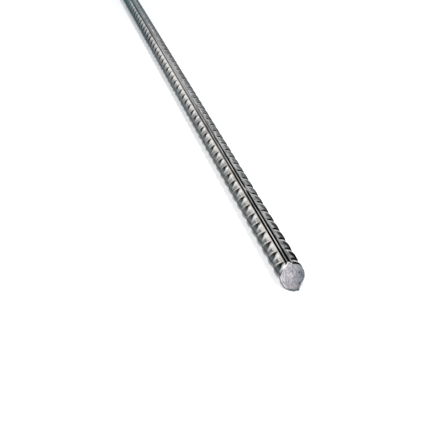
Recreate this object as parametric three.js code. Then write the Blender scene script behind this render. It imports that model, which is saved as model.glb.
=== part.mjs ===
// Ribbed reinforcing bar, 12 mm nominal: one straight length of hot-rolled steel lying on a level floor.
//
// Millimetres. +X runs along the bar towards its slanting cut end, +Z is up. The origin is on the floor under
// the middle of the bar. The bar lies a little turned about its own length, as such bars do: one crest of its
// lower lengthwise rib is on the floor, and on the real bar the slanting ribs beside it are the other support.
import * as THREE from 'three';

// The length that the bar is sold in, from the tip of the slanting cut to the square end.
const LENGTH = 1000;

// The round core that the rolls leave between the ribs. three.js draws each side's arc in twice these steps.
const CORE_DIAMETER = 11.5;
const CORE_ARC_STEPS = 12;

// The two lengthwise ribs, opposite each other, where the halves of the roll pass meet.
const RIB_HEIGHT = 0.75;
const RIB_CREST_WIDTH = 1.2;
const RIB_FLANK_ANGLE = THREE.MathUtils.degToRad(65);

// The slanting end: cut across both lengthwise ribs, with the upper one's end standing back from the tip.
const CUT_LEAN = THREE.MathUtils.degToRad(27);

// How far the bar lies turned about its length, from both lengthwise ribs upright.
const REST_TURN = THREE.MathUtils.degToRad(28);

const STEEL = { color: 0x6f7678, roughness: 0.42, metalness: 0.9 };

const coreRadius = CORE_DIAMETER / 2;
const crestReach = coreRadius + RIB_HEIGHT;
const halfCrest = RIB_CREST_WIDTH / 2;

// Half the angle that a lengthwise rib takes up on the core: its flanks run down from the crest at
// RIB_FLANK_ANGLE until they meet the core's circle.
function ribFootAngle() {
  const flank = new THREE.Vector2(Math.cos(RIB_FLANK_ANGLE), -Math.sin(RIB_FLANK_ANGLE));
  const crestCorner = new THREE.Vector2(halfCrest, crestReach);
  const along = -crestCorner.dot(flank);
  const offset = crestCorner.lengthSq() - coreRadius ** 2;
  const foot = crestCorner.clone().addScaledVector(flank, along - Math.sqrt(along ** 2 - offset));
  return Math.atan2(foot.x, foot.y);
}

// The bar's section about its axis, with the lengthwise ribs at the top and the bottom.
function sectionShape() {
  const foot = ribFootAngle();
  const quarter = Math.PI / 2;
  const shape = new THREE.Shape();
  shape.moveTo(-halfCrest, -crestReach);
  shape.lineTo(halfCrest, -crestReach);
  shape.absarc(0, 0, coreRadius, -quarter + foot, quarter - foot, false);
  shape.lineTo(halfCrest, crestReach);
  shape.lineTo(-halfCrest, crestReach);
  shape.absarc(0, 0, coreRadius, quarter + foot, 3 * quarter - foot, false);
  shape.closePath();
  return shape;
}

// How far the slanting cut stands back from its tip, which is at the lower lengthwise rib's crest.
function cutSetback(up) {
  return Math.tan(CUT_LEAN) * (up + crestReach);
}

// The bar's solid: the section drawn out to the full length, with one end square and the other on the slant.
function barGeometry() {
  const geometry = new THREE.ExtrudeGeometry(sectionShape(), {
    depth: LENGTH, steps: 1, bevelEnabled: false, curveSegments: CORE_ARC_STEPS,
  });
  const corners = geometry.getAttribute('position');
  for (let i = 0; i < corners.count; i += 1) {
    if (corners.getZ(i) > LENGTH / 2) {
      corners.setZ(i, LENGTH - cutSetback(corners.getY(i)));
    }
  }
  geometry.computeVertexNormals();
  return geometry;
}

// The axis's height over the floor, with the lower crest's low corner, or the core, touching it.
const axisHeight = Math.max(
  coreRadius, crestReach * Math.cos(REST_TURN) + halfCrest * Math.sin(REST_TURN),
);

// The section's own directions on the floor: across it, up through its lengthwise ribs, and along the bar.
const across = new THREE.Vector3(0, Math.cos(REST_TURN), Math.sin(REST_TURN));
const up = new THREE.Vector3(0, -Math.sin(REST_TURN), Math.cos(REST_TURN));
const along = new THREE.Vector3(1, 0, 0);

const bar = new THREE.Mesh(barGeometry(), new THREE.MeshStandardMaterial(STEEL));
bar.name = 'bar';
bar.setRotationFromMatrix(new THREE.Matrix4().makeBasis(across, up, along));
bar.position.set(-LENGTH / 2, 0, axisHeight);

const reinforcingBar = new THREE.Group();
reinforcingBar.add(bar);

export default reinforcingBar;
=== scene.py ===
"""Ribbed reinforcing bar: one straight length of hot-rolled steel, sheared on a slant at one end.

Metres, +Z up, +X towards the slanting end, on a level floor at z = 0. The bar lies a little turned about its
own length, so that it rests on the edge of its lower lengthwise rib and on the slanting ribs beside it.
"""
import math
import random
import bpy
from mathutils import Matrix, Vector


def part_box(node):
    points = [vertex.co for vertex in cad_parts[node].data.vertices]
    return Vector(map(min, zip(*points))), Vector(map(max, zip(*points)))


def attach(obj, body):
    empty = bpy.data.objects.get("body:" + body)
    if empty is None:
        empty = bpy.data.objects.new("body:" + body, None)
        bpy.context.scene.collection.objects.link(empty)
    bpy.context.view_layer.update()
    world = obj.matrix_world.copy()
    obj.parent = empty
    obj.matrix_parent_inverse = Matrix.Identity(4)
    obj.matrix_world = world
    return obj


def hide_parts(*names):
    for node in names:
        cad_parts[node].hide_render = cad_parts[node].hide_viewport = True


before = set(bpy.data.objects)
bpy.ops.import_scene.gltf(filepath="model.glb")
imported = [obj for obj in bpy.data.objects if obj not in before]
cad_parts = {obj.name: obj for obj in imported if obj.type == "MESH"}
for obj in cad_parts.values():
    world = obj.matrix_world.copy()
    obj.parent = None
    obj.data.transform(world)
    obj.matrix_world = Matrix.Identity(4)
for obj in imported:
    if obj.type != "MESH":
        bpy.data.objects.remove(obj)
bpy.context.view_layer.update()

from types import SimpleNamespace

import bmesh
import bpy
from mathutils import Matrix, Vector, geometry, noise

MM = 0.001

# --- the bar, in metres and radians ---------------------------------------------------------------
BAR_LOW, BAR_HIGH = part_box("bar")
LENGTH = BAR_HIGH.x - BAR_LOW.x
CORE_RADIUS = 5.75 * MM
REST_TURN = math.radians(28)          # how far the bar is turned about its own length as it lies
RIB_REACH = 6.5 * MM                  # axis to the crest of a lengthwise rib
RIB_HALF_CREST = 0.6 * MM
RIB_HALF_FOOT = 0.98 * MM
RIB_EDGE_DROP = 0.12 * MM             # its crest is rounded off by this much at its edges
AXIS_HEIGHT = RIB_REACH * math.cos(REST_TURN) + RIB_HALF_CREST * math.sin(REST_TURN)
CUT_LEAN = math.radians(27)           # the slanting end against a square cut

# --- the slanting ribs: crescents on both sides, fullest halfway between the lengthwise ribs ------
PITCH = 8.0 * MM
STARTS = 2                            # ribs that a rib passes in one turn round the bar
BEND = 0.19                           # it slants this much less by the upper lengthwise rib, twice it more by
                                      # the lower one
SLANT_RIB_HEIGHT = 0.72 * MM
SLANT_RIB_BACK = 2.2 * MM             # from its crest to its foot on the square end's side, at the middle
SLANT_RIB_FRONT = 4.8 * MM            # and on the slanting end's side, a longer slope
SLANT_RIB_TIP = 0.35 * MM             # both, where it runs out beside a lengthwise rib
SLANT_RIB_CREST_SHARE = 0.3           # flat part of each slope
SLANT_RIB_END = math.radians(12)      # angle from a lengthwise rib at which it runs out
SLANT_RIB_TAPER = 0.8                 # below 1, it widens fast from its ends
FIRST_RIB = -0.95 * MM                # where one meets the top lengthwise rib, from the square end
SPARE_RIBS = 3                        # pitches of the pattern past each end, cut away afterwards

# --- a nick that the shears left in the edge of the upper lengthwise rib --------------------------
NICK_PLACE = LENGTH / 2 - 70.5 * MM
NICK_HALF_LENGTH = 3.5 * MM
NICK_DEPTH = 0.4 * MM

# --- how finely the sheet is divided --------------------------------------------------------------
CREST_COLUMNS = 2                     # from the middle of a lengthwise rib to the edge of its crest
FLANK_COLUMNS = 2                     # down its flank
ROUND_COLUMNS = 12                    # from its foot to halfway round to the other one
FOOT_COLUMN = CREST_COLUMNS + FLANK_COLUMNS
QUARTER_COLUMNS = FOOT_COLUMN + ROUND_COLUMNS
BACK_ROWS = 3                         # from a slanting rib's foot to its crest
FRONT_ROWS = 5                        # and on down its longer slope
GAP_ROWS = 3                          # from one slanting rib to the next
FRONT_FOOT_ROW = BACK_ROWS + FRONT_ROWS
PITCH_ROWS = FRONT_FOOT_ROW + GAP_ROWS
ROWS = (math.ceil(LENGTH / PITCH) + 2 * SPARE_RIBS) * PITCH_ROWS
HALF_STEP = 0.5                       # of a row or column, so that rounding can't move one past a limit
WELD = 0.001 * MM                     # points closer than this are one

# --- the cut ends ---------------------------------------------------------------------------------
ALONG = Vector((1, 0, 0))
UP = Vector((0, -math.sin(REST_TURN), math.cos(REST_TURN)))      # from the lower lengthwise rib to the upper
CUT_NORMAL = ALONG * math.cos(CUT_LEAN) + UP * math.sin(CUT_LEAN)
CUT_WAY = ALONG * math.sin(CUT_LEAN) - UP * math.cos(CUT_LEAN)   # the blade's way through
CUT_POINT = Vector((LENGTH / 2, 0, AXIS_HEIGHT)) - UP * RIB_REACH
SHELL_SLOT = 0                        # the material slots of the rolled surface and of the cut faces
FACE_SLOT = 1
FACE_GRID = 0.42 * MM                 # spacing of the points across a cut face
FACE_JITTER = 0.2                     # of that, how far a point may stray either way
FACE_SEED = 5
FACE_RIM_KEPT = 0.3 * MM              # the outline's own band, left without points
FACE_ROUGHNESS = 0.09 * MM            # how far the torn metal stands up and down
FACE_SUNK = 0.5                       # of that, how far the face lies below the cut on average
FACE_GRAIN = 0.8 * MM                 # size of its lumps
FACE_STREAK = 4.0                     # how much longer they are along the blade's way through
FACE_FALLOFF = 1.0                    # finer lumps lie on them, as high as their size to this power,
FACE_FINER = 2.0                      # each this many times finer than the last
FACE_SIZES = 3                        # sizes of lumps in all
CUT_TOLERANCE = 1e-9                  # points closer to a cut than this lie in it
LIP_REACH = 2.5 * MM                  # how far the shears dragged out the lowest metal of the slanting end
LIP_HEIGHT = 3.5 * MM                 # up to this height over the floor,
LIP_FULL = 1.0 * MM                   # and by all of that reach below this one
LIP_ROOT = 4.0 * MM                   # how far back from the cut it still gave way
LIP_MIDDLE = 0.5 * MM                 # +Y of here it was dragged less,
LIP_SIDE = 3.0 * MM                   # down to a share of it from here on
LIP_SIDE_SHARE = 0.6
LIP_SHADED_BELOW = 1.2 * MM             # heights over the floor between which its face turns from painted shade
LIP_UNSHADED_ABOVE = 1.45 * MM          # to its own tone,
RIM_HIGHLIGHT_BELOW = 10.2 * MM          # and between which the rim turns from a painted highlight
RIM_SHADED_ABOVE = 10.7 * MM         # to painted shade at its top

# --- stretches with other scale or painted shade, each fading between two distances from the slanting end
# painted shade, darkest by the slanting cut
SHADE_FADES_OUT = (15 * MM, 90 * MM)
WEAR_AND_FLANK_SHADE_FADES = (110 * MM, 190 * MM)          # rubbed lengthwise rib crests, and painted shade on their right flanks
WEAR_AND_FLANK_SHADE_LEFT = 0.1                                # share of them left past it
PALE_FADES_IN = (130 * MM, 220 * MM)
PALE_FADES_OUT = (275 * MM, 310 * MM)
LOW_SHADE_BLUES_IN = (160 * MM, 280 * MM)          # painted shade low on the left, turning bluer
BLUE_FADES_IN = (300 * MM, 420 * MM)
BLUE_FADES_OUT = (390 * MM, 600 * MM)
BLUE_LEFT = 0.2                                # share of it left past them
# painted shade on the lengthwise ribs' left flanks fades between these
LEFT_FLANK_SHADE_FADES = (40 * MM, 200 * MM)
LEFT_FLANK_SHADE_LEFT = 0.7                           # share of its painted shade left past them

# --- how much of a layer's tone shows where the layer is fullest, if not all of it ----------------
PALE_SHARE = 0.6
RIGHT_SHARE = 0.75
LOW_SHADE_SHARE = 0.5
BLUE_SHARE = 0.5
GUTTER_SHARE = 0.75
LOWER_FLANK_SHADE_SHARE = 0.4

# --- patterns in the steel; a real one that is too fine to show is drawn as coarse as it needs to --
CLOUD_SIZE = 9 * MM                   # patches of thicker and thinner scale
STREAK_WIDTH = 0.8 * MM               # scale drawn out by the rolls; the real streaks are about 0.1 mm wide
STREAK_SQUEEZE = 0.06                 # along the bar, which draws the pattern out
SPECK_SIZE = 1.6 * MM                 # flaked spots; the real ones are about 0.3 mm
SPECK_SQUEEZE = 0.4                   # along the bar
SCALE_GRAIN = 0.35 * MM               # the real grain is about 0.02 mm
SCALE_GRAIN_HEIGHT = 0.02 * MM
SMEAR_WIDTH = 0.6 * MM                # streaks that the blade left; the real ones are about 0.1 mm wide
SMEAR_SQUEEZE = 0.25                  # along the blade's way
DARK_PART_LUMP = 2.5 * MM                 # how coarsely the edge of the face's darker part wanders,
DARK_PART_WIDTH = 6 * MM                  # and how slowly it takes over from -Y to +Y
PIT_SIZE = 0.9 * MM
TORN_GRAIN = 0.5 * MM                 # the real grain is about 0.05 mm
TORN_GRAIN_HEIGHT = 0.12 * MM

# Marks on the rolled surface are placed along it by shares of a pitch's rows, with 0 at a slanting rib's back
# foot, and round it by quarter turns from the nearer lengthwise rib, below 0 on the -Y side.
CREST = BACK_ROWS / PITCH_ROWS
FRONT_FOOT = FRONT_FOOT_ROW / PITCH_ROWS

# --- floor, light and camera ----------------------------------------------------------------------
FLOOR_REACH = 3.0
FLOOR_GLOW = 0.8                      # of its own, away from the bar, for the eye and for mirrors
GLOW_FROM = 30 * MM                   # from the bar, where it begins
GLOW_TO = 500 * MM                    # and where it is full
END_GLOW = 0.12                       # beside the slanting end,
END_GLOW_LENGTH = 250 * MM            # fading out over this much of the bar
SQUARE_END_GLOW = 0.35                # beside the square end, which the lamps reach less,
SQUARE_END_GLOW_FROM = LENGTH / 10    # fading out up to here
SKY_STRENGTH = 0.5
CAMERA_PLACE = (665.6 * MM, -142.6 * MM, 175.9 * MM)
CAMERA_AZIMUTH = math.radians(61.09)
CAMERA_ELEVATION = math.radians(34.79)
CAMERA_ROLL = math.radians(17.35)
CAMERA_LENS = 45.0
CAMERA_NEAREST = 5 * MM               # what is closer than this isn't drawn

MATH = "ShaderNodeMath"
RANGE = "ShaderNodeMapRange"
MIX = "ShaderNodeMix"


def linear(hex_colour):
    """An sRGB hex colour as linear RGBA."""
    channels = [int(hex_colour[i:i + 2], 16) / 255 for i in (1, 3, 5)]
    return tuple(c / 12.92 if c <= 0.04045 else ((c + 0.055) / 1.055) ** 2.4 for c in channels) + (1.0,)


def add(tree, kind, inputs=(), **settings):
    """One node with its settings; inputs are values, sockets or nodes, in order or by the name in use."""
    made = tree.nodes.new(kind)
    for name, value in settings.items():
        setattr(made, name, value)
    pairs = inputs.items() if isinstance(inputs, dict) else enumerate(inputs)
    for key, value in pairs:
        if isinstance(key, int):
            target = made.inputs[key]
        else:
            target = next(socket for socket in made.inputs if socket.name == key and socket.enabled)
        if isinstance(value, bpy.types.Node):
            value = next(socket for socket in value.outputs if socket.enabled)
        if isinstance(value, bpy.types.NodeSocket):
            tree.links.new(value, target)
        else:
            target.default_value = value
    return made


# --- the ribbed surface ---------------------------------------------------------------------------

def places_round(tree, size, across_sheet):
    """Which column of the sheet a point is in, and how far round the bar that is.

    Column 0 runs along the middle of the upper lengthwise rib, and the sheet's two long edges meet on the
    lower one. "near" counts from the nearer of the two; "upper" is +1 on the upper half and -1 on the lower.
    """
    side = add(tree, MATH, (across_sheet,), operation="SIGN")
    from_middle = add(tree, MATH, (across_sheet,), operation="ABSOLUTE")
    beyond = add(tree, MATH, (from_middle, QUARTER_COLUMNS), operation="SUBTRACT")
    past_quarter = add(tree, MATH, (beyond,), operation="ABSOLUTE")
    near = add(tree, MATH, (QUARTER_COLUMNS, past_quarter), operation="SUBTRACT")
    lower = add(tree, MATH, (beyond,), operation="SIGN")
    upper = add(tree, MATH, (lower, -1.0), operation="MULTIPLY")

    # The angle from the nearer lengthwise rib, up to a quarter turn, and the share of the half turn from the
    # upper one to the lower.
    foot_sine = add(tree, MATH, (size["Half Foot"], size["Core Radius"]), operation="DIVIDE")
    foot_angle = add(tree, MATH, (foot_sine,), operation="ARCSINE")
    round_angle = add(tree, MATH, (math.pi / 2, foot_angle), operation="SUBTRACT")
    to_foot = add(tree, RANGE, {"Value": near, "From Max": FOOT_COLUMN, "To Max": foot_angle})
    past_foot = add(tree, RANGE, {"Value": near, "From Min": FOOT_COLUMN, "From Max": QUARTER_COLUMNS,
                                  "To Max": round_angle})
    angle = add(tree, MATH, (to_foot, past_foot), operation="ADD")
    short_of_side = add(tree, MATH, (math.pi / 2, angle), operation="SUBTRACT")
    from_upper = add(tree, MATH, (short_of_side, lower, math.pi / 2), operation="MULTIPLY_ADD")
    half_turn = add(tree, MATH, (from_upper, math.pi), operation="DIVIDE")
    return SimpleNamespace(side=side, near=near, upper=upper, foot_angle=foot_angle, angle=angle,
                           short_of_side=short_of_side, half_turn=half_turn)


def crescent_share(tree, size, turn):
    """How full a slanting rib is: 1 halfway between the lengthwise ribs, 0 where it runs out."""
    reach = add(tree, MATH, (math.pi / 2, size["Slant End"]), operation="SUBTRACT")
    share = add(tree, MATH, (turn.short_of_side, reach), operation="DIVIDE", use_clamp=True)
    share_squared = add(tree, MATH, (share, share), operation="MULTIPLY")
    return add(tree, MATH, (1.0, share_squared), operation="SUBTRACT")


def rib_crests(tree, size, turn, rib_number):
    """Where along the bar the crest of a slanting rib is, as it winds round the bar."""
    square_end = add(tree, MATH, (size["Length"], -0.5), operation="MULTIPLY")
    first = add(tree, MATH, (size["Pitch"], -SPARE_RIBS, size["First Rib"]), operation="MULTIPLY_ADD")
    start = add(tree, MATH, (square_end, first), operation="ADD")
    on_top = add(tree, MATH, (rib_number, size["Pitch"], start), operation="MULTIPLY_ADD")
    cubed = add(tree, MATH, (turn.half_turn, 3.0), operation="POWER")
    bent = add(tree, MATH, (cubed, turn.half_turn), operation="SUBTRACT")
    way_round = add(tree, MATH, (bent, size["Bend"], turn.half_turn), operation="MULTIPLY_ADD")
    pitches = add(tree, MATH, (way_round, size["Starts"]), operation="MULTIPLY")
    half_pitches = add(tree, MATH, (pitches, 0.5), operation="MULTIPLY")
    sideways = add(tree, MATH, (half_pitches, turn.side), operation="MULTIPLY")
    return add(tree, MATH, (sideways, size["Pitch"], on_top), operation="MULTIPLY_ADD")


def places_along(tree, size, turn, crescent, along_sheet):
    """Where along the bar a point of the sheet is, and where on or between its slanting ribs.

    A rib's rows run from its back foot over its crest to its front foot, then a few cross the gap to the next
    rib. One turn round the bar moves a rib on by whole pitches, so the sheet's edges meet.
    """
    row = add(tree, MATH, (along_sheet, ROWS / 2), operation="ADD")
    rib_count = add(tree, MATH, (row, PITCH_ROWS), operation="DIVIDE")
    safe_count = add(tree, MATH, (rib_count, HALF_STEP / PITCH_ROWS), operation="ADD")
    rib_number = add(tree, MATH, (safe_count,), operation="FLOOR")
    first_row = add(tree, MATH, (rib_number, PITCH_ROWS), operation="MULTIPLY")
    rib_row = add(tree, MATH, (row, first_row), operation="SUBTRACT")
    up_back = add(tree, RANGE, {"Value": rib_row, "From Max": BACK_ROWS, "To Min": -1.0, "To Max": 0.0})
    down_front = add(tree, RANGE, {"Value": rib_row, "From Min": BACK_ROWS, "From Max": FRONT_FOOT_ROW})
    over_gap = add(tree, RANGE, {"Value": rib_row, "From Min": FRONT_FOOT_ROW, "From Max": PITCH_ROWS})

    fullness = add(tree, MATH, (crescent, size["Taper"]), operation="POWER")
    back = add(tree, RANGE, {"Value": fullness, "To Min": size["Slant Tip"], "To Max": size["Slant Back"]})
    front = add(tree, RANGE, {"Value": fullness, "To Min": size["Slant Tip"], "To Max": size["Slant Front"]})
    both_slopes = add(tree, MATH, (back, front), operation="ADD")
    gap = add(tree, MATH, (size["Pitch"], both_slopes), operation="SUBTRACT")
    crest_x = rib_crests(tree, size, turn, rib_number)
    back_x = add(tree, MATH, (up_back, back, crest_x), operation="MULTIPLY_ADD")
    front_x = add(tree, MATH, (down_front, front, back_x), operation="MULTIPLY_ADD")
    x = add(tree, MATH, (over_gap, gap, front_x), operation="MULTIPLY_ADD")
    off_crest = add(tree, MATH, (down_front, up_back), operation="SUBTRACT")
    return SimpleNamespace(x=x, off_crest=off_crest, rib_count=rib_count)


def round_part(tree, size, turn, crescent, off_crest):
    """The section between the lengthwise ribs, across and up from the axis, raised by the slanting ribs.

    They are flat on their crests and sink to nothing at both feet and at both ends.
    """
    profile = add(tree, RANGE, {"Value": off_crest, "From Min": size["Crest Share"],
                                "To Min": 1.0, "To Max": 0.0}, interpolation_type="SMOOTHSTEP")
    raised = add(tree, MATH, (profile, crescent), operation="MULTIPLY")
    radius = add(tree, MATH, (raised, size["Slant Height"], size["Core Radius"]), operation="MULTIPLY_ADD")
    sine = add(tree, MATH, (turn.angle,), operation="SINE")
    cosine = add(tree, MATH, (turn.angle,), operation="COSINE")
    across = add(tree, MATH, (radius, sine), operation="MULTIPLY")
    up = add(tree, MATH, (radius, cosine), operation="MULTIPLY")
    return across, up


def nick_share(tree, size, turn, x):
    """The nick: 1 in its middle, on the upper rib's +Y side, from its edge down, and 0 away from it."""
    off_nick = add(tree, MATH, (x, size["Nick Place"]), operation="SUBTRACT")
    off_nick = add(tree, MATH, (off_nick,), operation="ABSOLUTE")
    nick = add(tree, RANGE, {"Value": off_nick, "From Max": size["Nick Half Length"],
                             "To Min": 1.0, "To Max": 0.0}, interpolation_type="SMOOTHSTEP")
    nicked_side = add(tree, MATH, (turn.side, 1.0), operation="MULTIPLY", use_clamp=True)
    on_upper = add(tree, MATH, (turn.upper, 1.0), operation="MULTIPLY", use_clamp=True)
    off_middle = add(tree, MATH, (turn.near, HALF_STEP), operation="GREATER_THAN")
    for part in (nicked_side, on_upper, off_middle):
        nick = add(tree, MATH, (nick, part), operation="MULTIPLY")
    return nick


def lengthwise_rib(tree, size, turn, nick):
    """A lengthwise rib's section, across and up from the axis: a round-edged crest and straight flanks."""
    crest_across = add(tree, RANGE, {"Value": turn.near, "From Max": CREST_COLUMNS,
                                     "To Max": size["Half Crest"]})
    down_flank = add(tree, RANGE, {"Value": turn.near, "From Min": CREST_COLUMNS, "From Max": FOOT_COLUMN})
    flank_width = add(tree, MATH, (size["Half Foot"], size["Half Crest"]), operation="SUBTRACT")
    across = add(tree, MATH, (down_flank, flank_width, crest_across), operation="MULTIPLY_ADD")
    foot_cosine = add(tree, MATH, (turn.foot_angle,), operation="COSINE")
    foot_up = add(tree, MATH, (size["Core Radius"], foot_cosine), operation="MULTIPLY")
    to_edge = add(tree, RANGE, {"Value": turn.near, "From Min": CREST_COLUMNS - 1, "From Max": CREST_COLUMNS,
                                "To Max": size["Edge Drop"]})
    edge_up = add(tree, MATH, (size["Rib Reach"], to_edge), operation="SUBTRACT")
    whole_up = add(tree, RANGE, {"Value": down_flank, "To Min": edge_up, "To Max": foot_up})
    nick_depth = add(tree, MATH, (nick, size["Nick Depth"]), operation="MULTIPLY")
    nicked_up = add(tree, MATH, (whole_up, nick_depth), operation="SUBTRACT")
    up = add(tree, MATH, (nicked_up, foot_up), operation="MAXIMUM")
    return across, up


def flank_share(tree, turn, nick):
    """How far down a lengthwise rib's flank a point is: 0 on its crest, 1 at its foot, and 0 in the nick."""
    edge_fall = add(tree, RANGE, {"Value": turn.near, "From Max": CREST_COLUMNS})
    foot_fade = add(tree, RANGE, {"Value": turn.near, "From Min": FOOT_COLUMN, "From Max": FOOT_COLUMN + 1,
                                  "To Min": 1.0, "To Max": 0.0})
    flank = add(tree, MATH, (edge_fall, foot_fade), operation="MULTIPLY")
    unmarked = add(tree, MATH, (1.0, nick), operation="SUBTRACT")
    return add(tree, MATH, (flank, unmarked), operation="MULTIPLY")


def ribbed_surface_tree():
    """A flat sheet of rows and columns, rolled round the bar's section and raised into its ribs."""
    tree = bpy.data.node_groups.new("ribbed_surface", "GeometryNodeTree")
    sizes = {
        "Length": LENGTH, "Core Radius": CORE_RADIUS, "Turn": REST_TURN, "Axis Height": AXIS_HEIGHT,
        "Rib Reach": RIB_REACH, "Half Crest": RIB_HALF_CREST, "Half Foot": RIB_HALF_FOOT,
        "Edge Drop": RIB_EDGE_DROP, "Pitch": PITCH, "Starts": STARTS, "Bend": BEND, "First Rib": FIRST_RIB,
        "Slant Height": SLANT_RIB_HEIGHT, "Slant Back": SLANT_RIB_BACK, "Slant Front": SLANT_RIB_FRONT,
        "Slant Tip": SLANT_RIB_TIP, "Crest Share": SLANT_RIB_CREST_SHARE, "Slant End": SLANT_RIB_END,
        "Taper": SLANT_RIB_TAPER, "Nick Place": NICK_PLACE, "Nick Half Length": NICK_HALF_LENGTH,
        "Nick Depth": NICK_DEPTH,
    }
    for name, value in sizes.items():
        tree.interface.new_socket(name, in_out="INPUT", socket_type="NodeSocketFloat").default_value = value
    tree.interface.new_socket("Material", in_out="INPUT", socket_type="NodeSocketMaterial")
    tree.interface.new_socket("Geometry", in_out="OUTPUT", socket_type="NodeSocketGeometry")
    size = add(tree, "NodeGroupInput").outputs

    columns = 4 * QUARTER_COLUMNS
    sheet = add(tree, "GeometryNodeMeshGrid", (ROWS, columns, ROWS + 1, columns + 1))
    count = add(tree, "ShaderNodeSeparateXYZ", (add(tree, "GeometryNodeInputPosition"),)).outputs
    turn = places_round(tree, size, count["Y"])
    crescent = crescent_share(tree, size, turn)
    way = places_along(tree, size, turn, crescent, count["X"])
    nick = nick_share(tree, size, turn, way.x)

    # The section, turned as the bar lies and lifted to its height, with nothing below the floor.
    round_across, round_up = round_part(tree, size, turn, crescent, way.off_crest)
    rib_across, rib_up = lengthwise_rib(tree, size, turn, nick)
    on_rib = add(tree, MATH, (turn.near, FOOT_COLUMN - HALF_STEP), operation="LESS_THAN")
    across = add(tree, MIX, {"Factor": on_rib, "A": round_across, "B": rib_across})
    up = add(tree, MIX, {"Factor": on_rib, "A": round_up, "B": rib_up})
    section_y = add(tree, MATH, (across, turn.side), operation="MULTIPLY")
    section_z = add(tree, MATH, (up, turn.upper), operation="MULTIPLY")
    section = add(tree, "ShaderNodeCombineXYZ", (way.x, section_y, section_z))
    turned = add(tree, "ShaderNodeVectorRotate", {"Vector": section, "Angle": size["Turn"]},
                 rotation_type="X_AXIS")
    lift = add(tree, "ShaderNodeCombineXYZ", {"Z": size["Axis Height"]})
    lifted = add(tree, "ShaderNodeVectorMath", (turned, lift), operation="ADD")
    placed = add(tree, "ShaderNodeVectorMath", (lifted, (-LENGTH, -LENGTH, 0.0)), operation="MAXIMUM")

    # What the finish needs to know: how far down a lengthwise rib's flank, which slanting rib and where
    # across it and the gap after it, and how far round from the nearer lengthwise rib and to which side.
    quarter_turn = add(tree, MATH, (turn.angle, math.pi / 2), operation="DIVIDE")
    around = add(tree, MATH, (quarter_turn, turn.side), operation="MULTIPLY")
    marks = {"flank": flank_share(tree, turn, nick), "rib_count": way.rib_count, "around": around}
    made = sheet
    for name, value in marks.items():
        made = add(tree, "GeometryNodeStoreNamedAttribute", {"Geometry": made, "Name": name, "Value": value},
                   data_type="FLOAT", domain="POINT")
    made = add(tree, "GeometryNodeSetPosition", {"Geometry": made, "Position": placed})
    made = add(tree, "GeometryNodeMergeByDistance", {"Geometry": made, "Distance": WELD})
    made = add(tree, "GeometryNodeSetShadeSmooth", {"Geometry": made})
    made = add(tree, "GeometryNodeRealizeInstances", {"Geometry": made})
    made = add(tree, "GeometryNodeSetMaterial", {"Geometry": made, "Material": size["Material"]})
    add(tree, "NodeGroupOutput", (made,))
    return tree


def mesh_from_tree(name, tree, finish):
    """The tree's result as a plain mesh."""
    carrier = bpy.data.objects.new(name, bpy.data.meshes.new(name))
    bpy.context.scene.collection.objects.link(carrier)
    modifier = carrier.modifiers.new("made", "NODES")
    modifier.node_group = tree
    socket = next(item for item in tree.interface.items_tree
                  if item.item_type == "SOCKET" and item.in_out == "INPUT" and item.name == "Material")
    modifier[socket.identifier] = finish
    evaluated = carrier.evaluated_get(bpy.context.evaluated_depsgraph_get())
    mesh = bpy.data.meshes.new_from_object(evaluated)
    carrier.modifiers.remove(modifier)
    carrier.data = mesh
    return carrier


# --- the ends -------------------------------------------------------------------------------------

def ordered(edges):
    """The vertices of one closed ring of edges, in order."""
    start = edges[0].verts[0]
    chosen = set(edges)
    loop = [start]
    edge = edges[0]
    vert = edge.other_vert(start)
    while vert != start:
        loop.append(vert)
        edge = next(e for e in vert.link_edges if e in chosen and e != edge)
        vert = edge.other_vert(vert)
    return loop


def within(place, flat):
    """Whether a point lies inside a closed outline."""
    crossings = 0
    for a, b in zip(flat, flat[1:] + flat[:1]):
        if (a.y > place.y) != (b.y > place.y):
            crossings += place.x < a.x + (b.x - a.x) * (place.y - a.y) / (b.y - a.y)
    return crossings % 2 == 1


def grid_points(flat):
    """Staggered points inside an outline, a little uneven and clear of its rim."""
    middle = sum(flat, Vector((0, 0))) / len(flat)
    span = max((p - middle).length for p in flat)
    steps = math.ceil(span / FACE_GRID)
    draw = random.Random(FACE_SEED)
    inside = []
    for i in range(-steps, steps + 1):
        for j in range(-steps, steps + 1):
            step = Vector((i + 0.5 * (j % 2), j * math.sqrt(0.75)))
            stray = Vector((draw.uniform(-FACE_JITTER, FACE_JITTER), draw.uniform(-FACE_JITTER, FACE_JITTER)))
            place = middle + step * FACE_GRID + stray * FACE_GRID
            if within(place, flat) and min((place - p).length for p in flat) > FACE_RIM_KEPT:
                inside.append(place)
    return inside


def close_end(shell, point, normal, blade_way):
    """Cuts the bar with a plane and closes the cut with a rough face, torn along the blade's way."""
    cut = bmesh.ops.bisect_plane(shell, geom=shell.verts[:] + shell.edges[:] + shell.faces[:],
                                 dist=CUT_TOLERANCE, plane_co=point, plane_no=normal, clear_outer=True)
    loop = ordered([edge for edge in cut["geom_cut"] if isinstance(edge, bmesh.types.BMEdge)])
    burr = shell.verts.layers.float["burr"]
    for vert in loop:
        vert[burr] = 1.0

    across = normal.cross(blade_way).normalized()
    flat = [Vector(((v.co - point).dot(blade_way), (v.co - point).dot(across))) for v in loop]
    outline = [(i, (i + 1) % len(flat)) for i in range(len(flat))]
    points, _, faces, origins, _, _ = geometry.delaunay_2d_cdt(flat + grid_points(flat), outline, [], 1,
                                                               CUT_TOLERANCE)
    torn = []
    for place, made_from in zip(points, origins):
        if made_from and made_from[0] < len(loop):
            torn.append(loop[made_from[0]])
            continue
        spot = Vector((place.x / FACE_STREAK, place.y, 0)) / FACE_GRAIN
        lump = noise.fractal(spot, FACE_FALLOFF, FACE_FINER, FACE_SIZES)
        rise = FACE_ROUGHNESS * (lump - FACE_SUNK)
        torn.append(shell.verts.new(point + blade_way * place.x + across * place.y + normal * rise))
    for corners in faces:
        face = shell.faces.new([torn[i] for i in corners])
        face.normal_update()
        if face.normal.dot(normal) < 0:
            face.normal_flip()
        face.material_index = FACE_SLOT
        face.smooth = True


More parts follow.
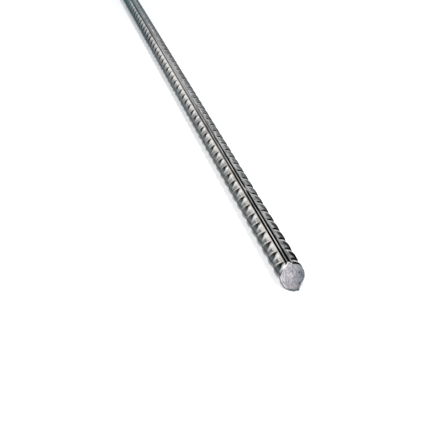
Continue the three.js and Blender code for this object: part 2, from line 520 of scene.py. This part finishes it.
def smooth_share(value, start, end):
    """0 at the start, 1 at the end and a smooth rise between them."""
    share = min(max((value - start) / (end - start), 0), 1)
    return share * share * (3 - 2 * share)


def drag_lip(shell):
    """Draws the lowest metal of the slanting end forward into a lip, as blunt shears do."""
    for vert in shell.verts:
        depth = (CUT_POINT - vert.co).dot(CUT_NORMAL)
        if depth < LIP_ROOT and vert.co.z < LIP_HEIGHT:
            aside = smooth_share(vert.co.y, LIP_MIDDLE, LIP_SIDE)
            drag = smooth_share(depth, LIP_ROOT, 0) * smooth_share(vert.co.z, LIP_HEIGHT, LIP_FULL)
            vert.co.x += LIP_REACH * drag * (1 - (1 - LIP_SIDE_SHARE) * aside)


def make_bar(steel, face_steel):
    """The whole bar as one closed mesh: the ribbed surface, cut and closed at both ends."""
    piece = mesh_from_tree("ribbed_bar", ribbed_surface_tree(), steel)
    piece.data.materials.clear()
    for finish in (steel, face_steel):
        piece.data.materials.append(finish)
    shell = bmesh.new()
    shell.from_mesh(piece.data)
    shell.verts.layers.float.new("burr")
    for face in shell.faces:
        face.material_index = SHELL_SLOT
    close_end(shell, CUT_POINT, CUT_NORMAL, CUT_WAY)
    drag_lip(shell)
    close_end(shell, Vector((-LENGTH / 2, 0, AXIS_HEIGHT)), -ALONG, -UP)
    bmesh.ops.recalc_face_normals(shell, faces=shell.faces[:])
    shell.to_mesh(piece.data)
    shell.free()
    return piece


# --- materials ------------------------------------------------------------------------------------

def material(name):
    """A new material and its node tree, still empty."""
    made = bpy.data.materials.new(name)
    made.use_nodes = True
    made.node_tree.nodes.clear()
    return made, made.node_tree


def layered(tree, tone, layers):
    """The tone with each layer's own tone over it, by the layer's share, from the lowest to the top one."""
    for share, over in layers:
        tone = add(tree, MIX, {"Factor": share, "A": tone, "B": over}, data_type="RGBA")
    return tone


def band(tree, value, rise=(), fall=()):
    """1 where the value is past its rise and short of its fall, 0 outside, and a smooth slope over each."""
    edges = []
    if rise:
        edges.append(add(tree, RANGE, {"Value": value, "From Min": rise[0], "From Max": rise[1]},
                         interpolation_type="SMOOTHSTEP"))
    if fall:
        edges.append(add(tree, RANGE, {"Value": value, "From Min": fall[0], "From Max": fall[1],
                                       "To Min": 1.0, "To Max": 0.0}, interpolation_type="SMOOTHSTEP"))
    return edges[0] if len(edges) == 1 else add(tree, MATH, edges, operation="MULTIPLY")


def uneven(tree, at, share, count_from, least):
    """The share, weaker by chance on one rib than on the next, with ribs counted from a place across one."""
    count = add(tree, MATH, (at.rib_count, count_from), operation="SUBTRACT")
    number = add(tree, MATH, (count,), operation="FLOOR")
    chance = add(tree, "ShaderNodeTexWhiteNoise", {"W": number}, noise_dimensions="1D").outputs["Value"]
    strength = add(tree, RANGE, {"Value": chance, "To Min": least})
    return add(tree, MATH, (share, strength), operation="MULTIPLY")


def places_on_bar(tree):
    """Where on the bar a point of the rolled surface is, where its scale is paler, and how strong its painted
    shade is.

    "place" runs from 0 at a slanting rib's back foot to 1 at the next one's. "around" and "off_rib" count
    quarter turns from the nearer lengthwise rib, the first of them with its side. "upper" fades from 1 on the
    upper half to 0 below the axis, and "left" is 1 on the -Y side, clear of the lengthwise ribs.
    """
    at = SimpleNamespace()
    at.coords = add(tree, "ShaderNodeTexCoord").outputs["Object"]
    for name in ("flank", "rib_count", "around"):
        setattr(at, name, add(tree, "ShaderNodeAttribute", attribute_name=name).outputs["Fac"])
    at.place = add(tree, MATH, (at.rib_count,), operation="FRACT")
    at.off_rib = add(tree, MATH, (at.around,), operation="ABSOLUTE")
    height = add(tree, "ShaderNodeVectorMath", (at.coords, UP), operation="DOT_PRODUCT").outputs["Value"]
    over_axis = add(tree, MATH, (height, AXIS_HEIGHT * UP.z), operation="SUBTRACT")
    at.upper = add(tree, RANGE, {"Value": over_axis, "From Min": -2.0 * MM, "From Max": 1.5 * MM})
    at.left = band(tree, at.around, fall=(-0.24, -0.14))
    out = add(tree, "ShaderNodeVectorMath", (at.coords, CUT_NORMAL), operation="DOT_PRODUCT").outputs["Value"]
    at.from_cut = add(tree, MATH, (CUT_POINT.dot(CUT_NORMAL), out), operation="SUBTRACT")

    # Along the bar from the slanting end: painted shade is darkest by the cut, the lengthwise ribs' crests
    # are rubbed and their right flanks painted in shade for a while, and one stretch has thinner, paler
    # scale.
    along = add(tree, "ShaderNodeSeparateXYZ", (at.coords,)).outputs["X"]
    at.from_end = add(tree, MATH, (LENGTH / 2, along), operation="SUBTRACT")
    at.by_cut = add(tree, RANGE, {"Value": at.from_end, "From Min": SHADE_FADES_OUT[0],
                                  "From Max": SHADE_FADES_OUT[1], "To Min": 1.0, "To Max": 0.0})
    at.worn = add(tree, RANGE, {"Value": at.from_end, "From Min": WEAR_AND_FLANK_SHADE_FADES[0],
                                "From Max": WEAR_AND_FLANK_SHADE_FADES[1], "To Min": 1.0, "To Max": WEAR_AND_FLANK_SHADE_LEFT})
    thin_scale = band(tree, at.from_end, rise=PALE_FADES_IN, fall=PALE_FADES_OUT)
    at.pale = add(tree, MATH, (thin_scale, PALE_SHARE), operation="MULTIPLY")
    return at


def scale_patterns(tree, at):
    """The scale's own unevenness: wide clouds, long streaks and patches of specks."""
    clouds = add(tree, "ShaderNodeTexNoise", {"Vector": at.coords, "Scale": 1 / CLOUD_SIZE, "Detail": 4.0})
    rolled = add(tree, "ShaderNodeMapping", {"Vector": at.coords, "Scale": (STREAK_SQUEEZE, 1.0, 1.0)})
    streaks = add(tree, "ShaderNodeTexNoise", {"Vector": rolled, "Scale": 1 / STREAK_WIDTH, "Detail": 3.0})
    drawn = add(tree, "ShaderNodeMapping", {"Vector": at.coords, "Scale": (SPECK_SQUEEZE, 1.0, 1.0)})
    specks = add(tree, "ShaderNodeTexNoise", {"Vector": drawn, "Scale": 1 / SPECK_SIZE, "Detail": 3.0})
    patches = add(tree, RANGE, {"Value": specks, "From Min": 0.42, "From Max": 0.58})
    return SimpleNamespace(clouds=clouds, streaks=streaks, patches=patches)


def plain_scale_tone(tree, at, pattern):
    """Thin scale as it is wherever no mark lies on it."""
    mottle = add(tree, MATH, (pattern.clouds, pattern.streaks), operation="ADD")
    mottle = add(tree, RANGE, {"Value": mottle, "From Min": 0.8, "From Max": 1.2})
    return layered(tree, linear("#898685"), ((mottle, linear("#c8c4c0")), (at.pale, linear("#e4e1de"))))


def low_shade_tone(tree, at):
    """Painted shade low on the left side, darkest by the slanting end and bluer away from it."""
    bluer_shade = add(tree, RANGE, {"Value": at.from_end, "From Min": LOW_SHADE_BLUES_IN[0],
                              "From Max": LOW_SHADE_BLUES_IN[1]})
    return layered(tree, linear("#7f8383"), ((at.by_cut, linear("#636b6d")), (bluer_shade, linear("#68757c")),
                                             (at.pale, linear("#878e90"))))


def side_layers(tree, at, pattern):
    """The right side's patchy scale, painted darker as shade and darker still down the side, and the
    lengthwise ribs' crests, rubbed where they show wear.
    """
    # the right side, painted darker as shade; its bright patches are the scale's own
    right = add(tree, MATH, (band(tree, at.around, rise=(-0.1, 0.3)), RIGHT_SHARE), operation="MULTIPLY")
    dull = add(tree, MIX, {"Factor": at.by_cut, "A": linear("#72777b"), "B": linear("#5d6266")},
               data_type="RGBA")
    bright = add(tree, MIX, {"Factor": at.by_cut, "A": linear("#c6c7c8"), "B": linear("#a9adb0")},
                 data_type="RGBA")
    speckled = add(tree, MIX, {"Factor": pattern.patches, "A": linear("#17191c"), "B": linear("#8f9499")},
                   data_type="RGBA")
    # painted shade, darker down the right side
    down_side = add(tree, RANGE, {"Value": at.around, "From Min": 0.25, "From Max": 0.85})
    right_tone = layered(tree, dull, ((pattern.patches, bright), (down_side, linear("#40474b")),
                                      (at.pale, speckled)))
    crest = band(tree, at.off_rib, fall=(0.04, 0.08))
    rub = add(tree, RANGE, {"Value": pattern.streaks, "From Min": 0.38, "From Max": 0.6})
    rubbed = add(tree, MIX, {"Factor": rub, "A": linear("#444547"), "B": linear("#cfcfcd")}, data_type="RGBA")
    crest_tone = layered(tree, linear("#8e9094"), ((at.worn, rubbed), (at.pale, linear("#c0c1c3"))))
    return [(right, right_tone), (crest, crest_tone)]


def hollow_shade_layer(tree, at):
    """Painted shade in the hollows between the slanting ribs, on the left."""
    hollow = add(tree, MATH, (band(tree, at.place, rise=(FRONT_FOOT + 0.03, FRONT_FOOT + 0.1)),
                              band(tree, at.place, fall=(0.1, 0.18))), operation="ADD")
    hollow = add(tree, MATH, (hollow, band(tree, at.around, fall=(-0.45, -0.36))), operation="MULTIPLY")
    down_side = add(tree, RANGE, {"Value": at.off_rib, "From Min": 0.45, "From Max": 0.75})
    tone = layered(tree, linear("#8f9292"), ((at.by_cut, linear("#1d2224")), (down_side, linear("#8d9394"))))
    return uneven(tree, at, hollow, count_from=0.5, least=0.8), tone


def long_slope_shade_layers(tree, at, low_shade):
    """Painted shade on the slanting ribs' long slopes.

    On the left its mark narrows towards the upper lengthwise rib and pales towards the lower one.
    """
    pinch = add(tree, RANGE, {"Value": at.off_rib, "From Min": 0.2, "From Max": 0.5,
                              "To Min": 0.2, "To Max": 0.0})
    pinched = add(tree, MATH, (at.place, pinch), operation="ADD")
    left = band(tree, at.place, rise=(CREST + 0.02, CREST + 0.06))
    for part in (at.left, band(tree, pinched, fall=(FRONT_FOOT - 0.1, FRONT_FOOT))):
        left = add(tree, MATH, (left, part), operation="MULTIPLY")
    down_side = add(tree, RANGE, {"Value": at.off_rib, "From Min": 0.42, "From Max": 1.0})
    left_tone = add(tree, MIX, {"Factor": down_side, "A": linear("#0b0c0d"), "B": low_shade}, data_type="RGBA")

    right = band(tree, at.place, rise=(CREST + 0.03, CREST + 0.07),
                 fall=(FRONT_FOOT - 0.08, FRONT_FOOT + 0.02))
    for part in (at.upper, band(tree, at.around, rise=(0.33, 0.43))):
        right = add(tree, MATH, (right, part), operation="MULTIPLY")
    right_tone = add(tree, MIX, {"Factor": at.by_cut, "A": linear("#6a6e71"), "B": linear("#0d0e10")},
                     data_type="RGBA")
    return [(uneven(tree, at, left, count_from=0.0, least=0.96), left_tone),
            (uneven(tree, at, right, count_from=0.0, least=0.9), right_tone)]


def painted_highlight_layers(tree, at):
    """Painted highlights on the slanting ribs: their crests, and by side their feet or short slopes."""
    tone = add(tree, MIX, {"Factor": at.off_rib, "A": linear("#e4e1dd"), "B": linear("#7d8486")},
               data_type="RGBA")
    foot = band(tree, at.place, rise=(FRONT_FOOT - 0.05, FRONT_FOOT),
                fall=(FRONT_FOOT + 0.06, FRONT_FOOT + 0.14))
    foot = add(tree, MATH, (foot, at.left), operation="MULTIPLY")
    crest = band(tree, at.place, rise=(CREST - 0.07, CREST - 0.03), fall=(CREST, CREST + 0.03))
    crest = add(tree, MATH, (crest, band(tree, at.off_rib, rise=(0.13, 0.2))), operation="MULTIPLY")
    short_slope = band(tree, at.place, rise=(0.02, 0.08), fall=(CREST, CREST + 0.03))
    for part in (band(tree, at.around, rise=(0.25, 0.4)), at.upper):
        short_slope = add(tree, MATH, (short_slope, part), operation="MULTIPLY")
    return [(foot, tone), (crest, tone), (short_slope, linear("#dededc"))]


def behind_shade_layer(tree, at):
    """Painted shade behind each slanting rib's short slope on the right, wider farther down."""
    widening = add(tree, RANGE, {"Value": at.around, "From Min": 0.35, "From Max": 0.8, "To Max": 0.32})
    widened = add(tree, MATH, (at.place, widening), operation="ADD")
    behind = add(tree, MATH, (band(tree, at.place, fall=(0.05, 0.1)), band(tree, widened, rise=(0.9, 0.95))),
                 operation="ADD")
    for part in (at.upper, band(tree, at.around, rise=(0.24, 0.32))):
        behind = add(tree, MATH, (behind, part), operation="MULTIPLY")
    return uneven(tree, at, behind, count_from=0.5, least=0.9), linear("#121415")


def long_layers(tree, at, low_shade):
    """What runs along the bar: painted shade low on the left, and bluer scale around its middle."""
    # painted shade on the lower left side
    low = add(tree, MATH, (band(tree, at.around, fall=(-0.85, -0.45)), LOW_SHADE_SHARE), operation="MULTIPLY")
    blue = add(tree, RANGE, {"Value": at.from_end, "From Min": BLUE_FADES_IN[0],
                             "From Max": BLUE_FADES_IN[1], "To Max": BLUE_SHARE})
    blue_left = add(tree, RANGE, {"Value": at.from_end, "From Min": BLUE_FADES_OUT[0],
                                  "From Max": BLUE_FADES_OUT[1], "To Min": 1.0, "To Max": BLUE_LEFT})
    blue = add(tree, MATH, (blue, blue_left), operation="MULTIPLY")
    return [(low, low_shade), (blue, linear("#587b85"))]


def flank_shade_layers(tree, at):
    """Painted shade in creases: the gutter right of the upper lengthwise rib, and both lengthwise ribs'
    flanks.

    The flanks pale away from the slanting end, and on the lower rib.
    """
    gutter = band(tree, at.around, rise=(0.05, 0.08), fall=(0.14, 0.22))
    for part in (at.by_cut, GUTTER_SHARE):
        gutter = add(tree, MATH, (gutter, part), operation="MULTIPLY")
    left = band(tree, at.flank, rise=(0.4, 0.65))
    depth = add(tree, RANGE, {"Value": at.from_end, "From Min": LEFT_FLANK_SHADE_FADES[0],
                              "From Max": LEFT_FLANK_SHADE_FADES[1], "To Min": 1.0, "To Max": LEFT_FLANK_SHADE_LEFT})
    for part in (band(tree, at.around, fall=(-0.01, 0.01)), depth):
        left = add(tree, MATH, (left, part), operation="MULTIPLY")
    right = band(tree, at.flank, rise=(0.2, 0.45))
    for part in (band(tree, at.around, rise=(-0.01, 0.01)), at.worn):
        right = add(tree, MATH, (right, part), operation="MULTIPLY")
    flank_shade = add(tree, MATH, (left, right), operation="ADD")
    by_rib = add(tree, RANGE, {"Value": at.upper, "To Min": LOWER_FLANK_SHADE_SHARE})
    flank_shade = add(tree, MATH, (flank_shade, by_rib), operation="MULTIPLY")
    return [(gutter, linear("#17191b")), (flank_shade, linear("#060607"))]


def cut_edge_layers(tree, at):
    """By the slanting cut, a thin line that the blade bared on the left and top, and painted shade on the
    right.
    """
    bared = add(tree, MATH, (band(tree, at.from_cut, fall=(0.5 * MM, 0.9 * MM)),
                             band(tree, at.around, rise=(-0.5, -0.25), fall=(0.14, 0.2))),
                operation="MULTIPLY")
    # painted shade along the rim on the right
    rim_shade = add(tree, MATH, (band(tree, at.from_cut, fall=(0.7 * MM, 1.2 * MM)),
                               band(tree, at.around, rise=(0.16, 0.24))), operation="MULTIPLY")
    return [(bared, linear("#f3f2f0")), (rim_shade, linear("#0d0e10"))]


def hot_rolled_scale_steel():
    """Plain carbon steel with the thin blue-grey scale of hot rolling.

    The scale gives a dull mirror with cloudy patches and long streaks. Shade is painted dark on the slanting
    ribs' long slopes, in the hollows between them and behind them, on the lengthwise ribs' flanks, on the
    right side and low on the left side, and highlights are painted light on the slanting ribs' crests and
    feet.
    """
    made, tree = material("hot_rolled_scale_steel")
    at = places_on_bar(tree)
    pattern = scale_patterns(tree, at)
    low_shade = low_shade_tone(tree, at)
    layers = side_layers(tree, at, pattern)
    layers.append(hollow_shade_layer(tree, at))
    layers += long_slope_shade_layers(tree, at, low_shade)
    layers += painted_highlight_layers(tree, at)
    layers.append(behind_shade_layer(tree, at))
    layers += long_layers(tree, at, low_shade)
    layers += flank_shade_layers(tree, at)
    layers += cut_edge_layers(tree, at)
    tone = layered(tree, plain_scale_tone(tree, at, pattern), layers)

    grain = add(tree, "ShaderNodeTexNoise", {"Vector": at.coords, "Scale": 1 / SCALE_GRAIN, "Detail": 3.0})
    bump = add(tree, "ShaderNodeBump", {"Strength": 0.35, "Distance": SCALE_GRAIN_HEIGHT, "Height": grain})
    roughness = add(tree, RANGE, {"Value": pattern.clouds, "From Min": 0.3, "From Max": 0.7,
                                  "To Min": 0.24, "To Max": 0.4})
    surface = add(tree, "ShaderNodeBsdfPrincipled",
                  {"Base Color": tone, "Metallic": 1.0, "Roughness": roughness, "Normal": bump,
                   "Specular Tint": linear("#9a9a9a")})
    add(tree, "ShaderNodeOutputMaterial", {"Surface": surface})
    return made


def sheared_steel():
    """Bare carbon steel where the bar was sheared off: bright, granular and free of scale.

    The blade smeared it into fine streaks, and the face is darker and pitted towards +Y. A thin burr at the
    rim is painted light as a highlight, except at the top, where the rim is painted in shade, and on the lip
    at the foot, where the face is painted in shade.
    """
    made, tree = material("sheared_steel")
    coords = add(tree, "ShaderNodeTexCoord").outputs["Object"]
    burr = add(tree, "ShaderNodeAttribute", attribute_name="burr").outputs["Fac"]
    place = add(tree, "ShaderNodeSeparateXYZ", (coords,)).outputs
    smeared = add(tree, "ShaderNodeMapping", {"Vector": coords, "Scale": (1.0, 1.0, SMEAR_SQUEEZE),
                                              "Rotation": (REST_TURN, 0.0, 0.0)})
    smears = add(tree, "ShaderNodeTexNoise", {"Vector": smeared, "Scale": 1 / SMEAR_WIDTH, "Detail": 3.0})
    smears = add(tree, RANGE, {"Value": smears, "From Min": 0.42, "From Max": 0.6})

    # the face turns darker and pitted towards +Y, along a wandering edge
    lumps = add(tree, "ShaderNodeTexNoise", {"Vector": coords, "Scale": 1 / DARK_PART_LUMP, "Detail": 3.0})
    to_side = add(tree, MATH, (place["Y"], 1 / DARK_PART_WIDTH), operation="MULTIPLY")
    darker_part = add(tree, MATH, (lumps, 2.0, to_side), operation="MULTIPLY_ADD")
    darker_part = add(tree, RANGE, {"Value": darker_part, "From Min": 0.6, "From Max": 1.8})
    pits = add(tree, "ShaderNodeTexNoise", {"Vector": coords, "Scale": 1 / PIT_SIZE, "Detail": 2.0})
    pits = add(tree, RANGE, {"Value": pits, "From Min": 0.56, "From Max": 0.66})
    pits = add(tree, MATH, (pits, darker_part), operation="MULTIPLY")

    # painted shade low on the face, on the lip at its foot
    foot = add(tree, RANGE, {"Value": place["Z"], "From Min": LIP_SHADED_BELOW, "From Max": LIP_UNSHADED_ABOVE,
                             "To Min": 1.0, "To Max": 0.0})
    # painted shade on the rim at the top
    rim_top_shade = add(tree, RANGE, {"Value": place["Z"], "From Min": RIM_HIGHLIGHT_BELOW,
                                "From Max": RIM_SHADED_ABOVE})
    rim_top_shade = add(tree, MATH, (rim_top_shade, burr), operation="MULTIPLY")
    face_tone = add(tree, MIX, {"Factor": darker_part, "A": linear("#c9c6cb"), "B": linear("#666e75")},
                    data_type="RGBA")
    smear_tone = add(tree, MIX, {"Factor": darker_part, "A": linear("#9b979d"), "B": linear("#787e84")},
                     data_type="RGBA")
    # the rim's burr is painted light as a highlight, and the lip and the rim's top are painted in shade
    tone = layered(tree, face_tone, ((smears, smear_tone), (pits, linear("#2c343c")),
                                     (burr, linear("#f6f5f4")), (foot, linear("#666d72")),
                                     (rim_top_shade, linear("#34373a"))))
    grain = add(tree, "ShaderNodeTexNoise", {"Vector": coords, "Scale": 1 / TORN_GRAIN, "Detail": 4.0})
    bump = add(tree, "ShaderNodeBump", {"Strength": 0.8, "Distance": TORN_GRAIN_HEIGHT, "Height": grain})
    surface = add(tree, "ShaderNodeBsdfPrincipled",
                  {"Base Color": tone, "Metallic": 1.0, "Roughness": 0.5, "Normal": bump})
    add(tree, "ShaderNodeOutputMaterial", {"Surface": surface})
    return made


# --- floor, light and camera ----------------------------------------------------------------------

def seen_rays(tree):
    """1 for the rays by which the eye, metal or glass sees a surface, 0 for those by which it gives light."""
    path = add(tree, "ShaderNodeLightPath").outputs
    seen = add(tree, MATH, (path["Is Camera Ray"], path["Is Glossy Ray"]), operation="MAXIMUM")
    return add(tree, MATH, (seen, path["Is Transmission Ray"]), operation="MAXIMUM")


def floor_glow(tree):
    """The floor's own glow, for seen rays only: full away from the bar and a little beside its two ends."""
    place = add(tree, "ShaderNodeTexCoord").outputs["Object"]
    place = add(tree, "ShaderNodeSeparateXYZ", (place,)).outputs
    along = add(tree, MATH, (place["X"],), operation="ABSOLUTE")
    past_end = add(tree, MATH, (along, LENGTH / 2), operation="SUBTRACT")
    aside = add(tree, MATH, (place["Y"],), operation="ABSOLUTE")
    away = add(tree, MATH, (past_end, aside), operation="MAXIMUM")
    outwards = add(tree, RANGE, {"Value": away, "From Min": GLOW_FROM, "From Max": GLOW_TO,
                                 "To Max": FLOOR_GLOW})
    by_slant = add(tree, RANGE, {"Value": place["X"], "From Min": LENGTH / 2 - END_GLOW_LENGTH,
                                 "From Max": LENGTH / 2, "To Max": END_GLOW})
    by_square = add(tree, RANGE, {"Value": place["X"], "From Min": SQUARE_END_GLOW_FROM,
                                  "From Max": -LENGTH / 2, "To Max": SQUARE_END_GLOW})
    level = add(tree, MATH, (outwards, by_slant), operation="MAXIMUM")
    level = add(tree, MATH, (level, by_square), operation="MAXIMUM")
    return add(tree, MATH, (seen_rays(tree), level), operation="MULTIPLY")


def make_floor():
    """A wide white matt sheet whose glow keeps it as white as the sky, while the bar's shadow still shows."""
    mesh = bpy.data.meshes.new("floor")
    r = FLOOR_REACH
    mesh.from_pydata([(-r, -r, 0), (r, -r, 0), (r, r, 0), (-r, r, 0)], [], [(0, 1, 2, 3)])
    floor = bpy.data.objects.new("floor", mesh)
    bpy.context.scene.collection.objects.link(floor)
    made, tree = material("white_floor")
    matt = add(tree, "ShaderNodeBsdfDiffuse", {"Color": linear("#f4f4f4")})
    glow = add(tree, "ShaderNodeEmission", {"Color": linear("#ffffff"), "Strength": floor_glow(tree)})
    add(tree, "ShaderNodeOutputMaterial", {"Surface": add(tree, "ShaderNodeAddShader", (matt, glow))})
    floor.data.materials.append(made)
    return floor


def make_world():
    """An even pale sky, white to the eye and in mirrors."""
    world = bpy.data.worlds.new("studio")
    world.use_nodes = True
    tree = world.node_tree
    tree.nodes.clear()
    seen = seen_rays(tree)
    strength = add(tree, RANGE, {"Value": seen, "To Min": SKY_STRENGTH, "To Max": 1.0})
    tint = add(tree, MIX, {"Factor": seen, "A": linear("#e6eaee"), "B": linear("#ffffff")}, data_type="RGBA")
    sky = add(tree, "ShaderNodeBackground", {"Color": tint, "Strength": strength})
    add(tree, "ShaderNodeOutputWorld", {"Surface": sky})
    bpy.context.scene.world = world


def make_lamp(name, place, aim, size, radiance, mirrored=True):
    """A soft box: a glowing rectangle of that brightness, where 1 is white.

    The small strong ones aren't mirrored, so that they leave no hard spots in the metal.
    """
    data = bpy.data.lights.new(name, "AREA")
    data.shape = "RECTANGLE"
    data.size, data.size_y = size
    data.energy = radiance * math.pi * data.size * data.size_y
    lamp = bpy.data.objects.new(name, data)
    bpy.context.scene.collection.objects.link(lamp)
    lamp.location = place
    lamp.rotation_euler = (Vector(place) - Vector(aim)).to_track_quat("Z", "Y").to_euler()
    lamp.visible_glossy = mirrored


def make_camera():
    """The camera, low over the slanting end and looking back along the bar."""
    data = bpy.data.cameras.new("camera")
    data.lens = CAMERA_LENS
    data.clip_start = CAMERA_NEAREST
    camera = bpy.data.objects.new("camera", data)
    bpy.context.scene.collection.objects.link(camera)
    camera.matrix_world = (Matrix.Translation(CAMERA_PLACE) @ Matrix.Rotation(CAMERA_AZIMUTH, 4, "Z")
                           @ Matrix.Rotation(math.pi / 2 - CAMERA_ELEVATION, 4, "X")
                           @ Matrix.Rotation(CAMERA_ROLL, 4, "Z"))
    bpy.context.scene.camera = camera


make_camera()
make_world()
floor = make_floor()
make_lamp("top", place=(0.6, -0.33, 0.84), aim=(0.6, 0, 0), size=(0.12, 0.12), radiance=100.0, mirrored=False)
make_lamp("key", place=(0.45, 0.3, 1.0), aim=(0.45, 0, 0), size=(0.06, 0.06), radiance=420.0, mirrored=False)
make_lamp("left", place=(-0.6, -1.2, 0.45), aim=(0.3, 0, 0), size=(1.2, 0.6), radiance=0.7)
make_lamp("right", place=(-0.5, 1.4, 0.8), aim=(0.3, 0, 0), size=(1.4, 0.8), radiance=0.4)
make_lamp("back", place=(-1.1, 0, 0.45), aim=(0.2, 0, 0), size=(1.4, 0.5), radiance=0.8)
make_lamp("front", place=(1.7, -0.1, 0.7), aim=(0.5, 0, 0), size=(0.8, 0.5), radiance=1.5)

bar = make_bar(hot_rolled_scale_steel(), sheared_steel())
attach(bar, "root")
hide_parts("bar")

bpy.context.scene.view_settings.view_transform = "Standard"
